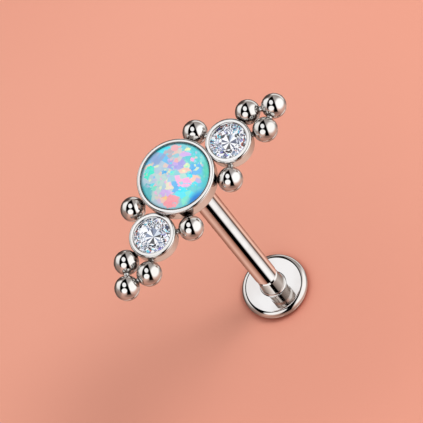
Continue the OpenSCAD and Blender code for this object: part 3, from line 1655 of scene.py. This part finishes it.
@dataclass
class Crystal:
    """A round brilliant: table, stars, kites, upper and lower girdle facets and pavilion mains."""

    side: str
    star_turn: float
    sides: int = 8
    diameter: float = 2.0
    table_share: float = 0.56
    crown_h: float = 0.27
    girdle_h: float = 0.05
    pavilion_h: float = 0.58
    kite_at: float = 0.45
    main_at: float = 0.78

    def shape(self, at: Vector) -> Shape:
        """Points and facets of the stone.

        Args:
            at: Centre of the table.

        Returns:
            The form.
        """
        sides = self.sides
        between = 180 / sides
        girdle_r = self.diameter / 2
        made = Shape()
        half_step = math.cos(math.radians(between))
        table_r = girdle_r * self.table_share
        shoulder_r = (table_r + (girdle_r - table_r) * self.kite_at) / half_step
        keel_r = girdle_r * (1 - self.main_at) / half_step
        girdle_z = -self.crown_h
        low_z = girdle_z - self.girdle_h
        rings = (
            (sides, 0.0, table_r, 0.0),
            (sides, between, shoulder_r, -self.crown_h * self.kite_at),
            (2 * sides, 0.0, girdle_r, girdle_z),
            (2 * sides, 0.0, girdle_r, low_z),
            (sides, between, keel_r, low_z - self.pavilion_h * self.main_at),
        )
        starts = []
        for count, first, radius, height in rings:
            starts.append(len(made.points))
            for index in range(count):
                angle = math.radians(first + 360 * index / count)
                out = Vector((radius * math.cos(angle), radius * math.sin(angle), height))
                made.points.append(at + out)
        culet = len(made.points)
        made.points.append(at + Vector((0.0, 0.0, low_z - self.pavilion_h)))
        table, shoulder, top, low, keel = starts
        made.faces.append(tuple(table + side for side in range(sides)))
        for here in range(sides):
            before = (here - 1) % sides
            after = (here + 1) % sides
            even = 2 * here
            odd = even + 1
            ahead = 2 * after
            made.faces += [
                (table + after, table + here, shoulder + here),
                (shoulder + before, top + even, shoulder + here, table + here),
                (top + even, top + odd, shoulder + here),
                (top + odd, top + ahead, shoulder + here),
                (low + even, low + odd, top + odd, top + even),
                (low + odd, low + ahead, top + ahead, top + odd),
                (low + odd, low + even, keel + here),
                (low + ahead, low + odd, keel + here),
                (keel + here, low + even, keel + before, culet),
            ]
        return made

    def build(self, finish: CrystalFinish) -> bpy.types.Object:
        """Make and place the stone.

        Args:
            finish: Its finish.

        Returns:
            The piece.
        """
        node = f"crystal_{self.side}"
        table = middle(node)
        table.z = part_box(node)[1].z / MM
        crown = finish.crown(f"clear_crown_{self.side}")
        back = finish.back(f"back_facets_{self.side}", table * MM, self.diameter / 2, self.star_turn)
        made = self.shape(table).piece(f"cut_stone_{self.side}", crown, sharp=None, back=back)
        return place(made, node, Slot.CRYSTAL)


@dataclass(frozen=True)
class Blob:
    """A soft-edged oval of light or dark, as a mirror ball facing the camera shows it."""

    x: float
    y: float
    half_x: float
    half_y: float
    turn: float = 0.0
    soft: float = 0.12

    def mask(self, x: Signal, y: Signal) -> Signal:
        """How much of the blob is at a place.

        Args:
            x: Place across the mirror ball.
            y: Place up the mirror ball.

        Returns:
            1 inside and 0 outside.
        """
        turn = math.radians(self.turn)
        cosine = math.cos(turn)
        sine = math.sin(turn)
        off_x = x - self.x
        off_y = y - self.y
        along = (off_x * cosine + off_y * sine) / self.half_x
        aside = (off_y * cosine - off_x * sine) / self.half_y
        return (along * along + aside * aside).root().rise(1 + self.soft, 1 - self.soft)


@dataclass(frozen=True)
class Tone:
    """A colour as seen in a mirror, 0 to 255, at a share of the way across it."""

    at: float
    red: int
    green: int
    blue: int


@dataclass(frozen=True)
class Band:
    """A narrow band of the sky that only walls of one tilt mirror to the camera, with its tones."""

    tilt: float
    reach: float
    full: float
    tones: tuple[Tone, ...]

    def mask(self, tilt: Signal) -> Signal:
        """How much of the band is seen by a mirror of some tilt."""
        return abs(tilt - self.tilt).rise(self.reach, self.full)


@dataclass(frozen=True)
class Lamp:
    """A round soft lamp: its place and diameter in metres, and its power in watts."""

    name: str
    at: tuple[float, float, float]
    size: float
    power: float


@dataclass
class Camera:
    """The photograph's camera: where it stands round the stud, and its scale."""

    azimuth: float = 76.04
    elevation: float = 61.61
    roll: float = -38.9
    distance: float = 200.0
    pixels_a_mm: float = 20.405
    image_side: int = 423
    head_pixel: Point = (199.32, 192.57)
    head_z: float = 13.2
    sensor: float = 36.0
    clip: Point = (0.01, 5.0)
    toward: Vector = field(init=False)
    level: Vector = field(init=False)
    right: Vector = field(init=False)
    up: Vector = field(init=False)

    def __post_init__(self) -> None:
        """Work out the way to the camera, and the picture's level, right and up."""
        azimuth = math.radians(self.azimuth)
        elevation = math.radians(self.elevation)
        roll = math.radians(self.roll)
        flat = math.cos(elevation)
        self.toward = Vector((flat * math.cos(azimuth), flat * math.sin(azimuth), math.sin(elevation)))
        self.level = Vector((-math.sin(azimuth), math.cos(azimuth), 0.0))
        upright = self.toward.cross(self.level)
        self.right = self.level * math.cos(roll) + upright * math.sin(roll)
        self.up = upright * math.cos(roll) - self.level * math.sin(roll)

    def build(self) -> None:
        """Make the camera, aimed so that the head's middle lies where the photograph has it."""
        middle_pixel = (self.image_side - 1) / 2
        aside = (middle_pixel - self.head_pixel[0]) / self.pixels_a_mm
        below = (middle_pixel - self.head_pixel[1]) / self.pixels_a_mm
        target = Vector((0.0, 0.0, self.head_z)) + self.right * aside - self.up * below
        data = bpy.data.cameras.new("photo_camera")
        data.sensor_width = self.sensor
        data.lens = self.pixels_a_mm * self.distance * self.sensor / self.image_side
        data.clip_start, data.clip_end = self.clip
        made = bpy.data.objects.new("photo_camera", data)
        axes = Matrix((self.right, self.up, self.toward)).transposed().to_4x4()
        made.matrix_world = Matrix.Translation((target + self.toward * self.distance) * MM) @ axes
        bpy.context.scene.collection.objects.link(made)
        bpy.context.scene.camera = made


@dataclass
class Studio:
    """Paper floor, two soft lamps over it, and a painted sky for the metal to mirror."""

    camera: Camera
    metal_share: float = 0.70
    floor_side: float = 3.0
    plain: Colour = linear(243, 206, 190)
    right_box: Blob = Blob(x=0.42, y=0.17, half_x=0.33, half_y=0.42, turn=-8.0, soft=0.28)
    left_box: Blob = Blob(x=-0.585, y=0.27, half_x=0.215, half_y=0.36, turn=-12.0, soft=0.22)
    upper_spot: Blob = Blob(x=-0.226, y=0.255, half_x=0.148, half_y=0.18, turn=10.0, soft=0.10)
    lower_spot: Blob = Blob(x=-0.205, y=-0.20, half_x=0.21, half_y=0.195, soft=0.10)
    flag_round: Blob = Blob(x=0.26, y=0.02, half_x=0.82, half_y=0.82, soft=0.03)
    dark_arc: Blob = Blob(x=-0.50, y=0.72, half_x=0.42, half_y=0.10, turn=35.0, soft=0.5)
    foot_shade: Blob = Blob(x=0.15, y=-0.56, half_x=0.34, half_y=0.13, turn=6.0, soft=0.7)
    left_shade: Blob = Blob(x=-0.62, y=-0.42, half_x=0.18, half_y=0.24, turn=20.0, soft=0.6)
    lamps: tuple[Lamp, ...] = (
        Lamp("fill_lamp", (0.0, 0.03, 0.30), 0.50, 1.13),
        Lamp("key_lamp", (-0.085, 0.02, 0.12), 0.06, 0.085),
    )
    cup_band: Band = Band(
        tilt=-0.072,
        reach=0.036,
        full=0.024,
        tones=(
            Tone(0.00, 150, 112, 96),
            Tone(0.25, 206, 170, 154),
            Tone(0.60, 212, 176, 160),
            Tone(0.85, 184, 142, 124),
            Tone(1.00, 150, 104, 86),
        ),
    )
    post_band: Band = Band(
        tilt=-0.007,
        reach=0.036,
        full=0.027,
        tones=(
            Tone(0.00, 132, 82, 64),
            Tone(0.06, 160, 108, 90),
            Tone(0.16, 226, 178, 160),
            Tone(0.24, 204, 154, 135),
            Tone(0.325, 150, 100, 82),
            Tone(0.352, 0, 0, 0),
            Tone(0.480, 0, 0, 0),
            Tone(0.53, 240, 238, 237),
            Tone(0.58, 255, 255, 255),
            Tone(0.70, 246, 244, 243),
            Tone(0.765, 196, 190, 188),
            Tone(0.80, 64, 50, 45),
            Tone(0.84, 172, 130, 114),
            Tone(0.88, 248, 204, 186),
            Tone(0.94, 206, 148, 128),
            Tone(1.00, 120, 66, 50),
        ),
    )
    collar_band: Band = Band(
        tilt=0.040,
        reach=0.027,
        full=0.022,
        tones=(
            Tone(0.00, 64, 54, 50),
            Tone(0.08, 140, 126, 118),
            Tone(0.20, 196, 184, 176),
            Tone(0.325, 238, 232, 228),
            Tone(0.352, 0, 0, 0),
            Tone(0.480, 0, 0, 0),
            Tone(0.50, 118, 106, 99),
            Tone(0.62, 158, 145, 138),
            Tone(0.78, 194, 184, 178),
            Tone(0.92, 150, 138, 130),
            Tone(1.00, 60, 50, 46),
        ),
    )

    def seen(self, red: float, green: float, blue: float) -> Colour:
        """Light that looks like this colour once the metal has mirrored it."""
        return brighter(linear(red, green, blue), 1 / self.metal_share)

    def blend(self, place: Signal, tones: Sequence[Tone]) -> Signal:
        """Colour a value, 0 to 1, with tones that the metal mirrors."""
        return place.ramp([(tone.at, self.seen(tone.red, tone.green, tone.blue)) for tone in tones])

    def sky(self) -> None:
        """Paint the light that the stud mirrors."""
        world = bpy.data.worlds.new("studio_light")
        bpy.context.scene.world = world
        world.use_nodes = True
        graph = Graph(world.node_tree)
        ray = graph.add("ShaderNodeTexCoord", output="Generated")
        cam = self.camera
        half = graph.vector("ADD", ray, tuple(cam.toward))
        facing = graph.vector("NORMALIZE", half)
        x = graph.vector("DOT_PRODUCT", facing, tuple(cam.right))
        y = graph.vector("DOT_PRODUCT", facing, tuple(cam.up))
        out = (x * x + y * y).root()
        colour = self._ground(graph, x, y, out)
        colour = self._boxes(graph, colour, x, y, out)
        colour = self._flag(graph, colour, x, y)
        colour = self._upright_bands(graph, colour, facing)
        colour = self._collar_image(graph, colour, ray)
        direct = graph.add("ShaderNodeLightPath", output="Is Camera Ray")
        colour = graph.mix(direct, colour, self.plain)
        shader = graph.add("ShaderNodeBackground", {}, {"Color": colour, "Strength": 1.0})
        graph.add("ShaderNodeOutputWorld", {}, {"Surface": shader})
        world.cycles_visibility.diffuse = False

    def _ground(self, graph: Graph, x: Signal, y: Signal, out: Signal) -> Signal:
        """Coral light from below, and grey light from above.

        Args:
            graph: Where the nodes go.
            x: Place across the mirror ball.
            y: Place up the mirror ball.
            out: Distance from the mirror ball's middle.

        Returns:
            The colour.
        """
        coral_tones = (
            Tone(0.0, 212, 178, 164),
            Tone(0.4, 196, 150, 134),
            Tone(0.75, 168, 122, 106),
            Tone(1.0, 140, 98, 82),
        )
        grey_tones = (
            Tone(0.0, 165, 160, 158),
            Tone(0.6, 150, 140, 134),
            Tone(1.0, 110, 96, 90),
        )
        coral = self.blend((out - 0.5) * 2.0, coral_tones)
        to_the_right = (x + y * 0.4).rise(0.1, 0.8)
        coral = graph.mix(to_the_right * 0.35, coral, self.seen(236, 206, 192))
        grey = self.blend((out - 0.6) * 2.5, grey_tones)
        above = (y - x * 0.25 + 0.12).rise(-0.12, 0.2)
        return graph.mix(above, coral, grey)

    def _boxes(self, graph: Graph, colour: Signal, x: Signal, y: Signal, out: Signal) -> Signal:
        """Lay the soft boxes over the ground colours.

        Args:
            graph: Where the nodes go.
            colour: What is there.
            x: Place across the mirror ball.
            y: Place up the mirror ball.
            out: Distance from the mirror ball's middle.

        Returns:
            The colour.
        """
        white = self.seen(255, 255, 254)
        left_rim = out.rise(0.80, 0.92) * (x * -1.0).rise(0.3, 0.7)
        colour = graph.mix(left_rim * 0.85, colour, self.seen(76, 60, 54))
        colour = graph.mix(self.left_shade.mask(x, y) * 0.7, colour, self.seen(128, 114, 107))
        crescent = out.rise(0.82, 0.86) * out.rise(0.95, 0.90) * (y + x * 0.3).rise(0.62, 0.8)
        colour = graph.mix(crescent * 0.75, colour, white)
        glow = self.left_box.mask(x, y) * ((y + 0.6).rise(0.2, 1.0) * 0.45 + 0.4)
        colour = graph.mix(glow, colour, white)
        colour = graph.mix(self.dark_arc.mask(x, y) * 0.9, colour, self.seen(62, 50, 46))
        colour = graph.mix(self.foot_shade.mask(x, y) * 0.7, colour, self.seen(92, 62, 52))
        return graph.mix(self.right_box.mask(x, y), colour, brighter(white, 1.04))

    def _flag(self, graph: Graph, colour: Signal, x: Signal, y: Signal) -> Signal:
        """Lay the dark flag over the boxes, with two round lights in it.

        Args:
            graph: Where the nodes go.
            colour: What is there.
            x: Place across the mirror ball.
            y: Place up the mirror ball.

        Returns:
            The colour.
        """
        left_of_edge = (x + y * 0.36 - 0.165).rise(0.04, -0.04)
        above_foot = (y - x * 0.1 + 0.52).rise(-0.05, 0.05)
        out_of_corner = (x + 0.02).rise(-0.05, 0.05).most((y + 0.33).rise(-0.06, 0.06))
        dark = self.flag_round.mask(x, y) * left_of_edge * above_foot * out_of_corner
        colour = graph.mix(dark, colour, (0.0, 0.0, 0.0))
        colour = graph.mix(self.upper_spot.mask(x, y), colour, self.seen(246, 247, 249))
        return graph.mix(self.lower_spot.mask(x, y), colour, self.seen(254, 254, 254))

    def _upright_bands(self, graph: Graph, colour: Signal, facing: Signal) -> Signal:
        """Narrow bands of the sky that only upright walls mirror to the camera.

        Args:
            graph: Where the nodes go.
            colour: What is there.
            facing: The way that a mirror faces to send the ray to the camera.

        Returns:
            The colour.
        """
        across = graph.vector("DOT_PRODUCT", facing, tuple(self.camera.level)) * 0.5 + 0.5
        tilt = graph.vector("DOT_PRODUCT", facing, UP)
        for band in (self.cup_band, self.post_band, self.collar_band):
            colour = graph.mix(band.mask(tilt), colour, self.blend(across, band.tones))
        return colour

    def _collar_image(self, graph: Graph, colour: Signal, ray: Signal) -> Signal:
        """The band of the sky that the collar's mirror image on the plate shows.

        The plate turns a ray over, so this band is the collar's own band upside down, and wide enough for
        the post's foot too. Only a ray that met two mirrors sees it.

        Args:
            graph: Where the nodes go.
            colour: What is there.
            ray: The way that the ray goes.

        Returns:
            The colour.
        """
        upright = graph.vector("MULTIPLY", ray, (1.0, 1.0, -1.0))
        facing = graph.vector("NORMALIZE", graph.vector("ADD", upright, tuple(self.camera.toward)))
        across = graph.vector("DOT_PRODUCT", facing, tuple(self.camera.level)) * 0.5 + 0.5
        tilt = graph.vector("DOT_PRODUCT", facing, UP)
        band = Band(tilt=-0.025, reach=0.06, full=0.045, tones=self.collar_band.tones)
        mirrors = graph.add("ShaderNodeLightPath", output="Glossy Depth")
        shown = band.mask(tilt) * mirrors.rise(1.2, 1.8)
        return graph.mix(shown, colour, self.blend(across, band.tones))

    def floor(self) -> None:
        """Lay the paper under the stud. The stud doesn't mirror it, because the sky holds its colour."""
        side = self.floor_side / 2
        corners = [(-side, -side, 0.0), (side, -side, 0.0), (side, side, 0.0), (-side, side, 0.0)]
        mesh = bpy.data.meshes.new("paper_floor")
        mesh.from_pydata(corners, [], [(0, 1, 2, 3)])
        mesh.materials.append(PaperFinish().material())
        made = bpy.data.objects.new("paper_floor", mesh)
        bpy.context.scene.collection.objects.link(made)
        made.visible_glossy = False

    @staticmethod
    def hang(lamp: Lamp) -> None:
        """Hang one soft lamp that looks at the stud. The metal mirrors the sky instead.

        Args:
            lamp: The lamp.
        """
        data = bpy.data.lights.new(lamp.name, "AREA")
        data.shape = "DISK"
        data.size = lamp.size
        data.energy = lamp.power
        made = bpy.data.objects.new(lamp.name, data)
        made.location = lamp.at
        made.rotation_euler = (-made.location).to_track_quat("-Z", "Y").to_euler()
        made.visible_glossy = False
        bpy.context.scene.collection.objects.link(made)

    def build(self) -> None:
        """Make floor, lamps, sky and camera, and show colours as they are."""
        self.floor()
        for lamp in self.lamps:
            self.hang(lamp)
        self.sky()
        self.camera.build()
        bpy.context.scene.view_settings.view_transform = "Standard"


def main() -> None:
    """Build the stud's pieces in order, and the studio round them."""
    logging.basicConfig(level=logging.INFO, format="%(message)s")
    bead_metal = PolishedMetal("head_polish")
    # The bezels' painted shade reaches less far.
    bezel_metal = PolishedMetal("bezel_polish", painted_shade_reach=0.2)
    joint_metal = PolishedMetal(
        "solder_polish",
        colour=linear(222, 220, 217),
        roughness=0.09,
        ripple_mm=0.004,
    )
    post_metal = PolishedMetal(
        "post_polish",
        colour=linear(215, 212, 210),
        shade=linear(206, 201, 198),
        # The post's metal takes less painted shade.
        painted_shade_share=0.25,
    ).material()
    DiscBack().build(post_metal)
    PostShaft().build(post_metal)
    Head().build(bead_metal.material(), bezel_metal.material(), joint_metal.material())
    Opal().build()
    for side, star_turn in (("left", 8.0), ("right", 31.0)):
        Crystal(side, star_turn).build(CrystalFinish())
    Studio(Camera()).build()


if __name__ == "__main__":
    main()
